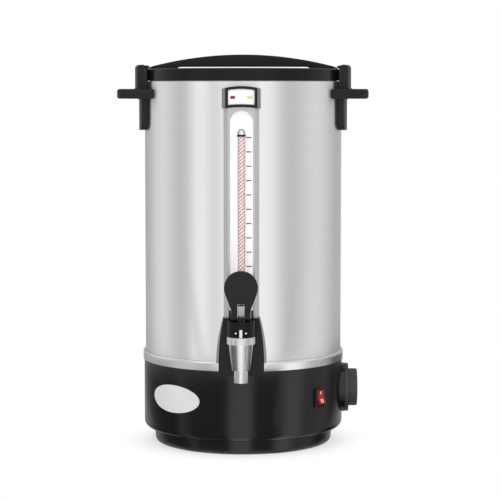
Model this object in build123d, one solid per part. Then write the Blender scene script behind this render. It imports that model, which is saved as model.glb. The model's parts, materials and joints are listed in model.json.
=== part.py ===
from build123d import *
import os
from math import cos, pi, radians, sin, sqrt

# Hot-water urn, in millimetres. The origin is on the urn's axis at the floor, +Z is up,
# the tap points to -Y and the temperature dial to +X.

# Fits that many pieces share, and how near a height an edge counts as lying at it
seat_gap = 0.15
slip_gap = 0.3
wall_gap = 0.2
flange_gap = 0.08
level_band = 0.01

# Body: a brushed shell with a welded tank hung inside it by its rim
body_radius = 112.5
shell_wall = 0.8
shell_height = 317.0
tank_gap = 7.7
tank_wall = 0.8
tank_lift = 3.4

# Trim ring between shell and base
ring_proud = 2.8
ring_height = 10.6
ring_edge = 2.4

# Base housing
base_proud = 1.7
base_wall = 3.0
base_height = 78.6
base_edge = 7.0
base_floor_width = 22.2
base_shelf_width = 14.2
spigot_height = 8.0
spigot_wall = 3.0

# Foot ring and its closing plate
foot_height = 17.0
foot_step = 11.2
foot_taper = 2.0
foot_wall = 7.0
foot_edge = 4.0
foot_flange = 4.0
foot_flange_width = 21.0
ledge_height = 5.0
ledge_thick = 3.0
ledge_width = 10.0
plate_thick = 1.2
plate_screw_count = 4
plate_screw_turn = 45.0
vent_count = 12
vent_length = 30.0
vent_width = 4.0
vent_rim = 15.0

# Screws: shank radius, head radius, head height
small_screw = (1.5, 3.0, 1.8)
handle_screw = (2.0, 4.0, 2.2)
bonnet_screw = (1.2, 1.7, 1.7)

# Side handles
post_thick = 10.9
post_half = 34.0
post_lid_gap = 5.5
post_rise = 4.3
post_edge = 4.0
grip_length = 29.8
grip_drop = 19.0
grip_thick = 11.0
grip_root_half = 56.0
grip_tip_half = 34.0
grip_corner = 13.0
grip_edge = 2.8
grip_blend = 2.4
grip_pocket_depth = 6.0
grip_pocket_wall = 3.0
grip_ribs = 3
grip_rib_width = 2.4
leg_thick = 6.4
leg_drop = 54.4
leg_top_half = 35.0
leg_bottom_half = 33.0
leg_corner = 9.0
lip_half = 15.0
lip_thick = 2.6
lip_gap = 0.6
lip_reach = 4.7
handle_screw_depth = 5.0
handle_screw_rise = 22.0

# Lid
lid_inset = 2.0
lid_gap = 0.5
lid_height = 13.6
lid_edge = 2.2
lid_flat_gap = 0.5
lid_notch_gap = 2.0
lid_plug_gap = 0.7
lid_floor = 3.0
lid_plug_depth = 5.0
lid_rim = 12.5
dish_slope = 7.0
strap_rise = 15.8
strap_half = 29.0
strap_end_half = 46.0
strap_clear = 2.5
strap_edge = 3.0
tunnel_end = 17.0
tunnel_corner = 9.0
liner_thick = 1.0
liner_inset = 4.0
lid_screw_inset = 13.0
lid_screw_count = 4
lid_screw_turn = 45.0
lid_screw_bite = 1.5
seal_height = 2.4
seal_width = 3.1

# Level gauge
column_width = 38.6
column_depth = 14.0
column_floor = 3.0
column_sink = 6.5
column_bevel = 4.6
column_rail = 6.65
window_drop = 2.3
scale_thick = 0.8
tube_outer = 8.3
tube_wall = 1.0
tube_gap = 0.6
tube_drop = 27.9
tube_rise = 12.0
gauge_seal_height = 2.0
gauge_seal_proud = 0.55
cap_straight = 2.35
cap_wall = 1.2

# Lamp panel above the gauge
lamp_width = 42.0
lamp_drop = 29.0
lamp_bow = 1.6
lamp_height = 21.4
lamp_crown = 2.8
lamp_depth = 14.5
lamp_pocket = 5.0
lamp_wing = 3.6
lamp_frame_wall = 2.8
lamp_frame_proud = 1.0
lamp_face_sink = 0.6
lens_width = 5.0
lens_height = 2.8
lens_corner = 0.8
lens_x = 9.2
lens_rise = 12.1
lens_proud = 0.5

# Tap: spout with a lifting stem, worked by a lever with two cam legs
shank_rise = 26.4
tap_clear = 3.55
outlet_radius = 7.95
outlet_wall = 1.95
outlet_drop = 32.7
cone_drop = 19.1
cone_step = 2.4
collar_radius = 15.45
collar_step = 1.85
collar_rise = 9.6
collar_height = 7.8
collar_edge = 1.2
chamber_radius = 9.0
chamber_drop = 12.0
seat_rise = 1.5
seat_width = 1.2
boss_radius = 8.5
boss_flange_width = 3.0
boss_flange_thick = 3.0
tap_spigot_radius = 6.5
water_bore = 4.5

# Shank tee behind the shroud
shank_radius = 7.0
shank_tail = 14.0
tee_wall = 3.5
tee_set_back = 3.0
tee_flange_width = 5.0
tee_flange_thick = 3.0
shank_seal_thick = 2.0
inner_seal_thick = 3.0
spacer_width = 4.0
nut_width = 22.0
nut_thick = 6.0
socket_wall = 1.3
socket_depth = 7.0
socket_seal = 0.9

# Bonnet
bonnet_step = 0.75
bonnet_height = 16.6
bonnet_spigot = 3.4
stem_window_height = 9.3
stem_window_gap = 0.5
bonnet_screw_x = 5.4
bonnet_screw_rise = 4.6
bonnet_screw_sink = 3.7
bonnet_screw_length = 12.0
screw_recess_gap = 1.0
tongue_height = 4.4
tongue_thick = 2.0
ear_height = 11.0
ear_thick = 2.2
ear_depth = 7.0
ear_edge = 2.3

# Stem and seat cup
stem_radius = 1.9
stem_end_rise = 2.0
stem_head_depth = 7.0
stem_head_down = 8.0
stem_head_up = 8.3
stem_head_edge = 2.0
seat_touch = 0.05
cup_gap = 1.1
cup_rim = 2.6
cup_neck_radius = 4.2
cup_height = 9.5
spring_radius = 4.6
spring_wire = 0.6
spring_turns = 5

# Lever: legs whose heel lifts the stem evenly with the angle
lever_head_radius = 18.3
lever_thick = 10.0
lever_edge = 2.4
lever_taper = 21.0
neck_half = 10.35
neck_rise = 2.5
neck_bend = 14.0
fork_gap = 8.1
fork_rise = 9.3
fork_clear = 0.3
pin_radius = 1.6
pin_gap = 0.06
pin_inset = 0.3
cam_gap = 0.2
cam_start = 9.0
cam_rise = 5.7
lever_range = 50.0
cam_spare = 4.0
cam_points = 7
ear_gap = 0.5

# Shroud behind the spout
shroud_depth = 18.5
shroud_wall = 2.5
shroud_rise = 0.5
shroud_drop = 2.6
shroud_top_margin = 0.1
shroud_flare = 5.0
shroud_mid_drop = 3.0
shroud_bottom_flare = 0.2
shroud_corner = 1.5
rail_thick = 2.6
rail_top_thick = 0.9
rail_setback = 1.2
rail_lift = 0.8

# Temperature dial
dial_lift = 4.1
dial_boss_proud = 2.8
dial_boss_in = 8.2
dial_boss_rim = 0.5
dial_skirt_radius = 27.7
dial_skirt_thick = 4.0
dial_skirt_rim = 6.3
dial_grip_length = 10.4
dial_edge = 1.6
dial_flutes = 24
dial_flute_radius = 1.7
dial_flute_depth = 0.7
dial_shaft_radius = 3.0
dial_shaft_gap = 0.08
dial_bore_gap = 0.05
dial_bushing_gap = 0.6
dial_shaft_in = 8.0
thermostat_size = (26.0, 34.0, 38.0)
thermostat_edge = 1.6

# Rocker switch
switch_angle = 48.8
switch_lift = 4.3
bezel_side = 2.4
bezel_end = 1.9
bezel_proud = 2.4
bezel_corner = 2.0
bezel_edge = 0.8
switch_rim = 1.0
switch_back = 4.8
rocker_width = 10.4
rocker_radius = 9.6
rocker_sink = 1.0
rocker_valley = 3.0
rocker_tilt = 12.0
rocker_pin = 1.2
rocker_pin_reach = 1.1
rocker_pin_gap = 0.1

# Power inlet at the back
inlet_drop = 2.3
inlet_cavity = (24.4, 16.8)
inlet_cavity_depth = 15.0
inlet_wall = 1.5
inlet_back = 4.0
inlet_lip = 2.0
inlet_proud = 2.2
inlet_corner = 4.5
blade = (2.0, 4.0)
blade_pitch = 7.0
blade_offset = 2.0
blade_proud = 12.0
blade_root = 3.0

# Heater under the tank
heater_inset = 34.0
heater_thick = 5.0
element_inset = 18.0
element_radius = 4.2
cutout_radius = 8.0
cutout_height = 7.0
cutout_edge = 1.4
cutout_inset = 30.0

# Worked-out places: heights from the floor up
base_bottom = foot_height
base_top = base_bottom + base_height
base_middle = (base_bottom + base_top) / 2
dial_z = base_middle + dial_lift
switch_z = base_middle + switch_lift
inlet_z = base_middle - inlet_drop
tank_bottom = base_top + tank_lift
shell_top = base_top + shell_height
rim_top = shell_top + tank_wall
lid_bottom = rim_top + lid_gap
lid_top = lid_bottom + lid_height
lip_bottom = lid_top + lip_gap
post_top = lid_top + post_rise
grip_bottom = shell_top - grip_drop
grip_top = grip_bottom + grip_thick
leg_bottom = shell_top - leg_drop
handle_screw_z = (leg_bottom + handle_screw_rise, grip_bottom + grip_thick / 2)
dish_floor = rim_top - lid_plug_depth + lid_floor
tunnel_top = lid_top + strap_clear
lamp_bottom = shell_top - lamp_drop
lamp_side_top = lamp_bottom + lamp_height
lens_z = lamp_bottom + lens_rise
window_top = lamp_bottom - window_drop
tube_top = window_top - tube_drop
shank_z = base_top + shank_rise
tube_bottom = shank_z + tube_rise
socket_top = tube_bottom + socket_depth
outlet_bottom = shank_z - outlet_drop
cone_bottom = shank_z - cone_drop
chamber_floor = shank_z - chamber_drop
seat_z = chamber_floor + seat_rise
stem_end = seat_z + stem_end_rise
cup_bottom = seat_z + seat_touch
cup_top = cup_bottom + cup_height
collar_bottom = shank_z + collar_rise
collar_top = collar_bottom + collar_height
bonnet_under = collar_top - bonnet_spigot
bonnet_screw_z = collar_top + bonnet_screw_rise
bonnet_top = collar_top + bonnet_height
pin_z = bonnet_top + cam_gap + cam_start
fork_top = pin_z + fork_rise
neck_z = pin_z + neck_rise
shroud_top = bonnet_top + shroud_rise
shroud_bottom = base_top - shroud_drop
shroud_mid_z = shank_z - shroud_mid_drop
column_bottom = shroud_top - column_sink

# Worked-out places: out from the axis
tank_radius = body_radius - shell_wall - tank_gap
tank_inner = tank_radius - tank_wall
tank_seat = tank_inner - inner_seal_thick
ring_radius = body_radius + ring_proud
base_radius = body_radius + base_proud
foot_top_radius = base_radius - foot_step
foot_bottom_radius = foot_top_radius - foot_taper
foot_slope = foot_taper / foot_height
ledge_wall = foot_bottom_radius - foot_wall + foot_slope * ledge_height
vent_circle = ledge_wall - ledge_width - vent_rim - vent_length / 2
post_outer = body_radius + post_thick
leg_outer = body_radius + leg_thick
grip_reach = body_radius + grip_length
lip_edge = body_radius - lip_reach
lid_radius = body_radius - lid_inset
post_inner = lid_radius + post_lid_gap
lid_flat = lip_edge - lid_flat_gap
dish_radius = lid_radius - lid_rim
tunnel_half = dish_radius - tunnel_end
lid_screw_circle = dish_radius - lid_screw_inset
column_front = body_radius + column_depth
channel_front = body_radius + column_floor
scale_front = channel_front + scale_thick
tube_reach = scale_front + tube_gap + tube_outer / 2
shroud_front = body_radius + shroud_depth
tee_front = shroud_front - tee_set_back
tap_reach = shroud_front + tap_clear + collar_radius
dial_boss_face = base_radius + dial_boss_proud
dial_boss_back = base_radius - dial_boss_in
dial_back = dial_boss_face + slip_gap
dial_reach = dial_back + dial_skirt_thick + dial_grip_length
heater_radius = tank_radius - heater_inset
element_circle = heater_radius - element_inset
cutout_circle = element_circle - cutout_inset

# Worked-out sizes
window_width = column_width - 2 * column_rail
tube_bore = tube_outer - 2 * tube_wall
gauge_seal_outer = tube_outer + 2 * gauge_seal_proud
socket_radius = tube_outer / 2 + socket_seal + socket_wall
outlet_bore = outlet_radius - outlet_wall
cone_low_radius = outlet_radius + cone_step
cone_top_radius = collar_radius - collar_step
bonnet_radius = collar_radius - bonnet_step
tee_radius = water_bore + tee_wall
tee_flange_radius = shank_radius + tee_flange_width
boss_flange_radius = boss_radius + boss_flange_width
spacer_radius = shank_radius + spacer_width
cup_radius = chamber_radius - cup_gap
fork_half = fork_gap / 2
stem_head_half = fork_half - fork_clear
cam_end = radians(lever_range + cam_spare)
lever_lean = radians(lever_taper)
shoulder_x = lever_head_radius * cos(lever_lean)
shoulder_z = neck_z + (shoulder_x - neck_half) * cos(lever_lean) / sin(lever_lean)
lever_head_z = shoulder_z + lever_head_radius * sin(lever_lean)
shroud_top_half = column_width / 2 + shroud_top_margin
shroud_mid_half = shroud_top_half + shroud_flare
shroud_bottom_half = shroud_mid_half + shroud_bottom_flare
dial_boss_radius = dial_skirt_radius + dial_boss_rim
dial_grip_radius = dial_skirt_radius - dial_skirt_rim
bezel_width = rocker_width + 2 * bezel_side
bezel_height = 2 * rocker_radius + 2 * bezel_end
switch_depth = rocker_radius + rocker_sink + switch_back
inlet_body = (inlet_cavity[0] + 2 * inlet_wall, inlet_cavity[1] + 2 * inlet_wall)
inlet_flange = (inlet_body[0] + 2 * inlet_lip, inlet_body[1] + 2 * inlet_lip)
inlet_depth = inlet_cavity_depth + inlet_back


def upright(radius, bottom, top):
    cylinder = Cylinder(radius, top - bottom, align=(Align.CENTER, Align.CENTER, Align.MIN))
    return Pos(0, 0, bottom) * cylinder


def ring(inner, outer, bottom, top):
    return upright(outer, bottom, top) - upright(inner, bottom, top)


def along_front(radius, near, far, x=0, z=0):
    cylinder = Cylinder(radius, far - near, align=(Align.CENTER, Align.CENTER, Align.MIN))
    return Pos(x, -near, z) * Rot(90, 0, 0) * cylinder


def along_side(radius, near, far, y=0, z=0):
    cylinder = Cylinder(radius, far - near, align=(Align.CENTER, Align.CENTER, Align.MIN))
    return Pos(near, y, z) * Rot(0, 90, 0) * cylinder


def turned(*outline):
    points = [(r, 0, z) for r, z in outline]
    return revolve(make_face(Polyline(*points, close=True)), Axis.Z)


def front_slab(outline, near, far):
    return extrude(Plane.XZ.offset(near) * outline, far - near)


def round_edges(solid, height):
    edges = solid.edges().filter_by(GeomType.CIRCLE)
    return edges.filter_by_position(Axis.Z, height - level_band, height + level_band)


def screw(sizes, length):
    shank_radius_of, head_radius, head_height = sizes
    shank = Cylinder(shank_radius_of, length, align=(Align.CENTER, Align.CENTER, Align.MAX))
    head = Cylinder(head_radius, head_height, align=(Align.CENTER, Align.CENTER, Align.MIN))
    head = fillet(round_edges(head, head_height), head_height / 2)
    return shank + head


def tap_axis(solid):
    return Pos(0, -tap_reach, 0) * solid


def shank_hole():
    return along_front(shank_radius + seat_gap, 0, body_radius + shank_tail, z=shank_z)


# Body

def make_outer_shell():
    shell = ring(body_radius - shell_wall, body_radius, base_top, shell_top)
    shell -= shank_hole()
    for z in handle_screw_z:
        shell -= along_side(handle_screw[0] + seat_gap, -2 * body_radius, 2 * body_radius, z=z)
    return shell


def make_tank():
    wall = ring(tank_inner, tank_radius, tank_bottom + tank_wall, rim_top)
    rim = ring(tank_inner, body_radius, shell_top, rim_top)
    return wall + rim - shank_hole()


def make_tank_floor():
    return upright(tank_radius, tank_bottom, tank_bottom + tank_wall)


def make_trim_ring():
    top = base_top + ring_height
    band = upright(ring_radius, base_top, top)
    band = fillet(round_edges(band, top), ring_edge)
    return band - upright(body_radius + seat_gap, base_top, top)


def make_base_housing():
    housing = upright(base_radius, base_bottom, base_top)
    housing = fillet(round_edges(housing, base_bottom), base_edge)
    housing += along_side(dial_boss_radius, dial_boss_back, dial_boss_face, z=dial_z)
    inner = base_radius - base_wall
    room = upright(inner, base_bottom + base_wall, base_top - base_wall)
    room -= along_side(dial_boss_radius, dial_boss_back, dial_boss_face, z=dial_z)
    housing -= room
    housing -= upright(base_radius - base_floor_width, base_bottom, base_bottom + base_wall)
    housing -= upright(base_radius - base_shelf_width, base_top - base_wall, base_top)
    spigot_outer = body_radius - shell_wall - wall_gap
    housing += ring(spigot_outer - spigot_wall, spigot_outer, base_top, base_top + spigot_height)
    housing -= along_side(dial_shaft_radius + dial_bushing_gap, dial_boss_back, dial_boss_face, z=dial_z)
    housing -= switch_place() * switch_body(wall_gap)
    housing -= inlet_place() * inlet_shell(inlet_body, wall_gap, inlet_depth)
    return housing


def make_foot_ring():
    outer = turned((0, 0), (foot_bottom_radius, 0), (foot_top_radius, base_bottom), (0, base_bottom))
    outer = fillet(round_edges(outer, 0), foot_edge)
    ceiling = base_bottom - foot_flange
    low = foot_bottom_radius - foot_wall
    outer -= turned((0, 0), (low, 0), (low + foot_slope * ceiling, ceiling), (0, ceiling))
    outer -= upright(foot_top_radius - foot_flange_width, ceiling, base_bottom)
    ledge_top = ledge_height + ledge_thick
    ledge = turned(
        (ledge_wall - ledge_width, ledge_height),
        (ledge_wall, ledge_height),
        (ledge_wall + foot_slope * ledge_thick, ledge_top),
        (ledge_wall - ledge_width, ledge_top),
    )
    foot = outer + ledge
    for place in plate_screw_places():
        foot -= place * upright(small_screw[0], ledge_height, ledge_top)
    return foot


def plate_screw_places():
    circle = ledge_wall - ledge_width / 2
    return list(PolarLocations(circle, plate_screw_count, start_angle=plate_screw_turn))


def make_base_plate():
    bottom = ledge_height - plate_thick
    radius = ledge_wall - foot_slope * plate_thick - slip_gap
    plate = upright(radius, bottom, ledge_height)
    vent = extrude(SlotOverall(vent_length, vent_width), plate_thick)
    for place in PolarLocations(vent_circle, vent_count):
        plate -= Pos(0, 0, bottom) * place * vent
    for place in plate_screw_places():
        plate -= place * upright(small_screw[0] + seat_gap, bottom, ledge_height)
    return plate


def make_base_screws():
    bottom = ledge_height - plate_thick
    length = plate_thick + ledge_thick
    turned_up = Pos(0, 0, bottom) * Rot(180, 0, 0) * screw(small_screw, length)
    return Compound(children=[place * turned_up for place in plate_screw_places()])


# Side handles

def handle_wall(outer, half, bottom, top, edge):
    wall = upright(outer, bottom, top)
    wall = fillet(round_edges(wall, top), edge)
    wall -= upright(body_radius + seat_gap, bottom, top)
    span = Pos(outer / 2, 0, (bottom + top) / 2) * Box(outer, 2 * half, top - bottom)
    return wall & span


def grip_outline(inset):
    root = grip_root_half - inset
    tip = grip_tip_half - inset
    reach = grip_reach - inset
    start = sqrt(body_radius**2 - grip_root_half**2) - grip_edge
    outline = make_face(Polyline((start, -root), (reach, -tip), (reach, tip), (start, root), close=True))
    corners = outline.vertices().sort_by(Axis.X)[-2:]
    return fillet(corners, grip_corner - inset)


def make_grip():
    grip = extrude(Plane.XY.offset(grip_bottom) * grip_outline(0), grip_thick)
    faces = grip.faces().sort_by(Axis.Z)
    grip = fillet(faces[0].edges() + faces[-1].edges(), grip_edge)
    pocket = extrude(Plane.XY.offset(grip_bottom) * grip_outline(grip_pocket_wall), grip_pocket_depth)
    pocket -= upright(leg_outer + grip_pocket_wall, grip_bottom, grip_top)
    pitch = 2 * grip_tip_half / (grip_ribs + 1)
    for index in range(grip_ribs):
        y = (index - (grip_ribs - 1) / 2) * pitch
        pocket -= Pos(grip_reach / 2, y, grip_bottom) * Box(grip_reach, grip_rib_width, 2 * grip_thick)
    return grip - pocket - upright(body_radius + seat_gap, grip_bottom, grip_top)


def make_leg():
    leg = upright(leg_outer, leg_bottom, grip_bottom + grip_edge)
    leg -= upright(body_radius + seat_gap, leg_bottom, grip_bottom + grip_edge)
    top = grip_bottom + grip_edge
    corners = [(-leg_top_half, top), (leg_top_half, top)]
    corners += [(leg_bottom_half, leg_bottom), (-leg_bottom_half, leg_bottom)]
    outline = make_face(Polyline(*corners, close=True))
    outline = fillet(outline.vertices().sort_by(Axis.Y)[:2], leg_corner)
    return leg & extrude(Plane.YZ * outline, leg_outer)


def make_right_handle():
    handle = handle_wall(post_outer, post_half, grip_bottom + grip_edge, post_top, post_edge)
    handle -= upright(post_inner, rim_top, post_top)
    handle += make_leg()
    handle += make_grip()
    seams = round_edges(handle, grip_top).filter_by(lambda edge: abs(edge.radius - post_outer) < seat_gap)
    seams += round_edges(handle, grip_bottom).filter_by(lambda edge: abs(edge.radius - leg_outer) < seat_gap)
    handle = fillet(seams, grip_blend)
    root = (post_inner + post_outer) / 2
    lip = Box(root - lip_edge, 2 * lip_half, lip_thick, align=(Align.MIN, Align.CENTER, Align.MIN))
    handle += Pos(lip_edge, 0, lip_bottom) * lip
    for z in handle_screw_z:
        handle -= along_side(handle_screw[0], 0, body_radius + handle_screw_depth, z=z)
    return handle


def make_handle_screws():
    inside = sqrt((body_radius - shell_wall) ** 2 - handle_screw[1] ** 2)
    length = body_radius - inside + handle_screw_depth
    one = Pos(inside, 0, 0) * Rot(0, -90, 0) * screw(handle_screw, length)
    screws = [Pos(0, 0, z) * one for z in handle_screw_z]
    screws += [mirror(item, Plane.YZ) for item in screws]
    return Compound(children=screws)


# Lid

def strap_outline():
    half = lid_radius
    crown = ThreePointArc((-half, lid_top), (0, lid_top + strap_rise), (half, lid_top))
    floor = Polyline((half, lid_top), (half, dish_floor), (-half, dish_floor), (-half, lid_top))
    return make_face([crown] + floor.edges())


def tunnel_outline():
    corners = [(-tunnel_half, dish_floor), (tunnel_half, dish_floor)]
    corners += [(tunnel_half, tunnel_top), (-tunnel_half, tunnel_top)]
    outline = make_face(Polyline(*corners, close=True))
    return fillet(outline.vertices().sort_by(Axis.Y)[2:], tunnel_corner)


def strap_plan():
    ends = []
    for side in (-1, 1):
        start = (-side * lid_flat, side * strap_end_half)
        waist = (0, side * strap_half)
        end = (side * lid_flat, side * strap_end_half)
        ends.append(ThreePointArc(start, waist, end))
    joins = [Line(ends[0] @ 1, ends[1] @ 0), Line(ends[1] @ 1, ends[0] @ 0)]
    return make_face(ends + joins)


def make_strap():
    strap = extrude(Plane.XZ * strap_outline(), strap_end_half, both=True)
    strap = strap & extrude(Plane.XY * strap_plan(), lid_top + 2 * strap_rise)
    crown = strap.faces().filter_by(GeomType.CYLINDER).sort_by(Axis.Z)[-1]
    sides = crown.edges().filter_by(GeomType.LINE, reverse=True)
    strap = fillet(sides, strap_edge)
    room = upright(dish_radius, dish_floor, lid_top)
    room += upright(lid_flat, lid_top - lid_edge, lid_top + 2 * strap_rise)
    return (strap & room) - extrude(Plane.XZ * tunnel_outline(), 2 * strap_end_half, both=True)


def make_lid_cover():
    plug = tank_inner - lid_plug_gap
    under = rim_top - lid_plug_depth
    groove = rim_top + seal_height + slip_gap
    groove_wall = plug + seal_width + 2 * lid_plug_gap
    disc = turned(
        (0, under),
        (plug, under),
        (plug, groove),
        (groove_wall, groove),
        (groove_wall, lid_bottom),
        (lid_radius, lid_bottom),
        (lid_radius, lid_top),
        (dish_radius, lid_top),
        (dish_radius - dish_slope, dish_floor),
        (0, dish_floor),
    )
    disc = fillet(round_edges(disc, lid_top).group_by(SortBy.RADIUS)[-1], lid_edge)
    cover = disc + make_strap()
    notch_width = 2 * (lip_half + lid_notch_gap)
    for x, inner_side in ((lid_flat, Align.MIN), (-lid_flat, Align.MAX)):
        notch = Box(lid_radius, notch_width, 4 * lid_height, align=(inner_side, Align.CENTER, Align.CENTER))
        cover -= Pos(x, 0, lid_top) * notch
    for place in lid_screw_places():
        cover -= place * upright(small_screw[0], under, under + lid_screw_bite)
    return cover


def lid_screw_places():
    return list(PolarLocations(lid_screw_circle, lid_screw_count, start_angle=lid_screw_turn))


def make_lid_liner():
    under = rim_top - lid_plug_depth
    liner = upright(tank_inner - lid_plug_gap - liner_inset, under - liner_thick, under)
    for place in lid_screw_places():
        liner -= place * upright(small_screw[0] + seat_gap, under - liner_thick, under)
    return liner


def make_lid_screws():
    bottom = rim_top - lid_plug_depth - liner_thick
    length = liner_thick + lid_screw_bite
    turned_up = Pos(0, 0, bottom) * Rot(180, 0, 0) * screw(small_screw, length)
    return Compound(children=[place * turned_up for place in lid_screw_places()])


def make_lid_seal():
    inner = tank_inner + slip_gap
    return ring(inner, inner + seal_width, rim_top, rim_top + seal_height)


# Level gauge and lamps

def window_outline(inset):
    half = window_width / 2 - inset
    spring_line = window_top - window_width / 2
    sides = Polyline((half, spring_line), (half, column_bottom), (-half, column_bottom), (-half, spring_line))
    arch = ThreePointArc((-half, spring_line), (0, spring_line + half), (half, spring_line))
    return make_face(sides.edges() + [arch])


def column_outline():
    half = column_width / 2
    sides = Polyline((half, lamp_bottom), (half, column_bottom), (-half, column_bottom), (-half, lamp_bottom))
    head = ThreePointArc((-half, lamp_bottom), (0, lamp_bottom + lamp_bow), (half, lamp_bottom))
    return make_face(sides.edges() + [head])


def make_gauge_column():
    column = front_slab(column_outline(), body_radius / 2, column_front)
    front = column.faces().sort_by(Axis.Y)[0]
    column = chamfer(front.edges().filter_by(Axis.Z), column_bevel)
    column -= front_slab(window_outline(0), channel_front, column_front)
    return column - upright(body_radius + seat_gap, 0, rim_top)


def make_gauge_scale():
    return front_slab(window_outline(wall_gap), channel_front, scale_front)


def gauge_axis(solid):
    return Pos(0, -tube_reach, 0) * solid


def make_gauge_tube():
    return gauge_axis(ring(tube_bore / 2, tube_outer / 2, tube_bottom, tube_top))


def make_gauge_seal():
    return gauge_axis(ring(tube_bore / 2, gauge_seal_outer / 2, tube_top, tube_top + gauge_seal_height))


def make_gauge_cap():
    bottom = tube_top + gauge_seal_height
    radius = tube_outer / 2
    dome = upright(radius, bottom, bottom + cap_straight)
    dome += Pos(0, 0, bottom + cap_straight) * Sphere(radius)
    hollow = upright(radius - cap_wall, bottom - radius, bottom + cap_straight)
    hollow += Pos(0, 0, bottom + cap_straight) * Sphere(radius - cap_wall)
    dome -= upright(radius, bottom - radius, bottom)
    return gauge_axis(dome - hollow)


def make_gauge_foot_seal():
    return gauge_axis(ring(tube_outer / 2, tube_outer / 2 + socket_seal, tube_bottom, socket_top))


def lamp_outline(side, end):
    half = lamp_width / 2
    low = lamp_bottom + end + seat_gap
    high = lamp_side_top - end
    foot = ThreePointArc((-half, low), (0, low + lamp_bow), (half, low))
    crown = ThreePointArc((half, high), (0, high + lamp_crown), (-half, high))
    panel = make_face([foot, Line((half, low), (half, high)), crown, Line((-half, high), (-half, low))])
    return panel & Pos(0, lens_z) * Rectangle(lamp_width - 2 * side, 4 * lamp_height)


def make_lamp_housing():
    front = body_radius + lamp_depth
    housing = front_slab(lamp_outline(0, 0), body_radius / 2, front)
    housing -= front_slab(lamp_outline(lamp_wing, -lamp_height), front - lamp_pocket, front)
    return housing - upright(body_radius + seat_gap, 0, rim_top)


def make_lamp_frame():
    front = body_radius + lamp_depth
    outside = lamp_outline(lamp_wing + seat_gap, 0)
    inside = lamp_outline(lamp_wing + seat_gap + lamp_frame_wall, lamp_frame_wall)
    return front_slab(outside - inside, front - lamp_pocket, front + lamp_frame_proud)


def lens_outline(gap):
    return RectangleRounded(lens_width + 2 * gap, lens_height + 2 * gap, lens_corner + gap)


def make_lamp_face():
    front = body_radius + lamp_depth
    outline = lamp_outline(lamp_wing + lamp_frame_wall + 2 * seat_gap, lamp_frame_wall + seat_gap)
    for x in (-lens_x, lens_x):
        outline -= Pos(x, lens_z) * lens_outline(seat_gap)
    return front_slab(outline, front - lamp_pocket, front - lamp_face_sink)


def make_lens(x):
    front = body_radius + lamp_depth
    lens_front = front - lamp_face_sink + lens_proud
    return front_slab(Pos(x, lens_z) * lens_outline(0), front - lamp_pocket, lens_front)


# Tap

def make_tap_body():
    spout = turned(
        (0, outlet_bottom),
        (outlet_radius, outlet_bottom),
        (outlet_radius, cone_bottom),
        (cone_low_radius, cone_bottom),
        (cone_top_radius, collar_bottom),
        (collar_radius, collar_bottom),
        (collar_radius, collar_top),
        (0, collar_top),
    )
    spout = fillet(round_edges(spout, collar_top), collar_edge)
    body = tap_axis(spout)
    body += along_front(boss_radius, shroud_front, tap_reach, z=shank_z)
    body += along_front(boss_flange_radius, shroud_front, shroud_front + boss_flange_thick, z=shank_z)
    body += along_front(tap_spigot_radius, tee_front, shroud_front, z=shank_z)
    body -= tap_axis(upright(outlet_bore, outlet_bottom, seat_z))
    body -= tap_axis(upright(chamber_radius, seat_z, collar_top))
    body -= tap_axis(ring(outlet_bore + seat_width, chamber_radius, chamber_floor, seat_z))
    return body - along_front(water_bore, tee_front, tap_reach, z=shank_z)


def make_shank_tee():
    flange_back = body_radius + shank_seal_thick
    flange_front = flange_back + tee_flange_thick
    tee = along_front(tee_radius, flange_back, tee_front, z=shank_z)
    tee += along_front(tee_flange_radius, flange_back, flange_front, z=shank_z)
    tee += along_front(shank_radius, tank_inner - shank_tail, flange_back, z=shank_z)
    tee += gauge_axis(upright(socket_radius, shank_z, socket_top))
    tee -= along_front(water_bore, tank_inner - shank_tail, tee_front, z=shank_z)
    tee -= gauge_axis(upright(tube_bore / 2, shank_z, tube_bottom))
    return tee - gauge_axis(upright(tube_outer / 2 + socket_seal, tube_bottom, socket_top))


def make_shank_seals():
    outside = along_front(tee_flange_radius, 0, body_radius + shank_seal_thick, z=shank_z)
    outside -= upright(body_radius, 0, rim_top)
    inside = along_front(tee_flange_radius, tank_seat, body_radius, z=shank_z)
    inside &= upright(tank_inner, 0, rim_top)
    return Compound(children=[outside - shank_hole(), inside - shank_hole()])


def make_shank_spacer():
    spacer = along_front(spacer_radius, 0, body_radius, z=shank_z)
    spacer &= ring(tank_radius, body_radius - shell_wall, 0, rim_top)
    return spacer - shank_hole()


def make_shank_nut():
    hexagon = RegularPolygon(nut_width / 2, 6, major_radius=False)
    nut = extrude(Plane.XZ.offset(tank_seat - nut_thick) * hexagon, nut_thick)
    return Pos(0, 0, shank_z) * nut - along_front(shank_radius, 0, tee_front, z=shank_z)


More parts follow.
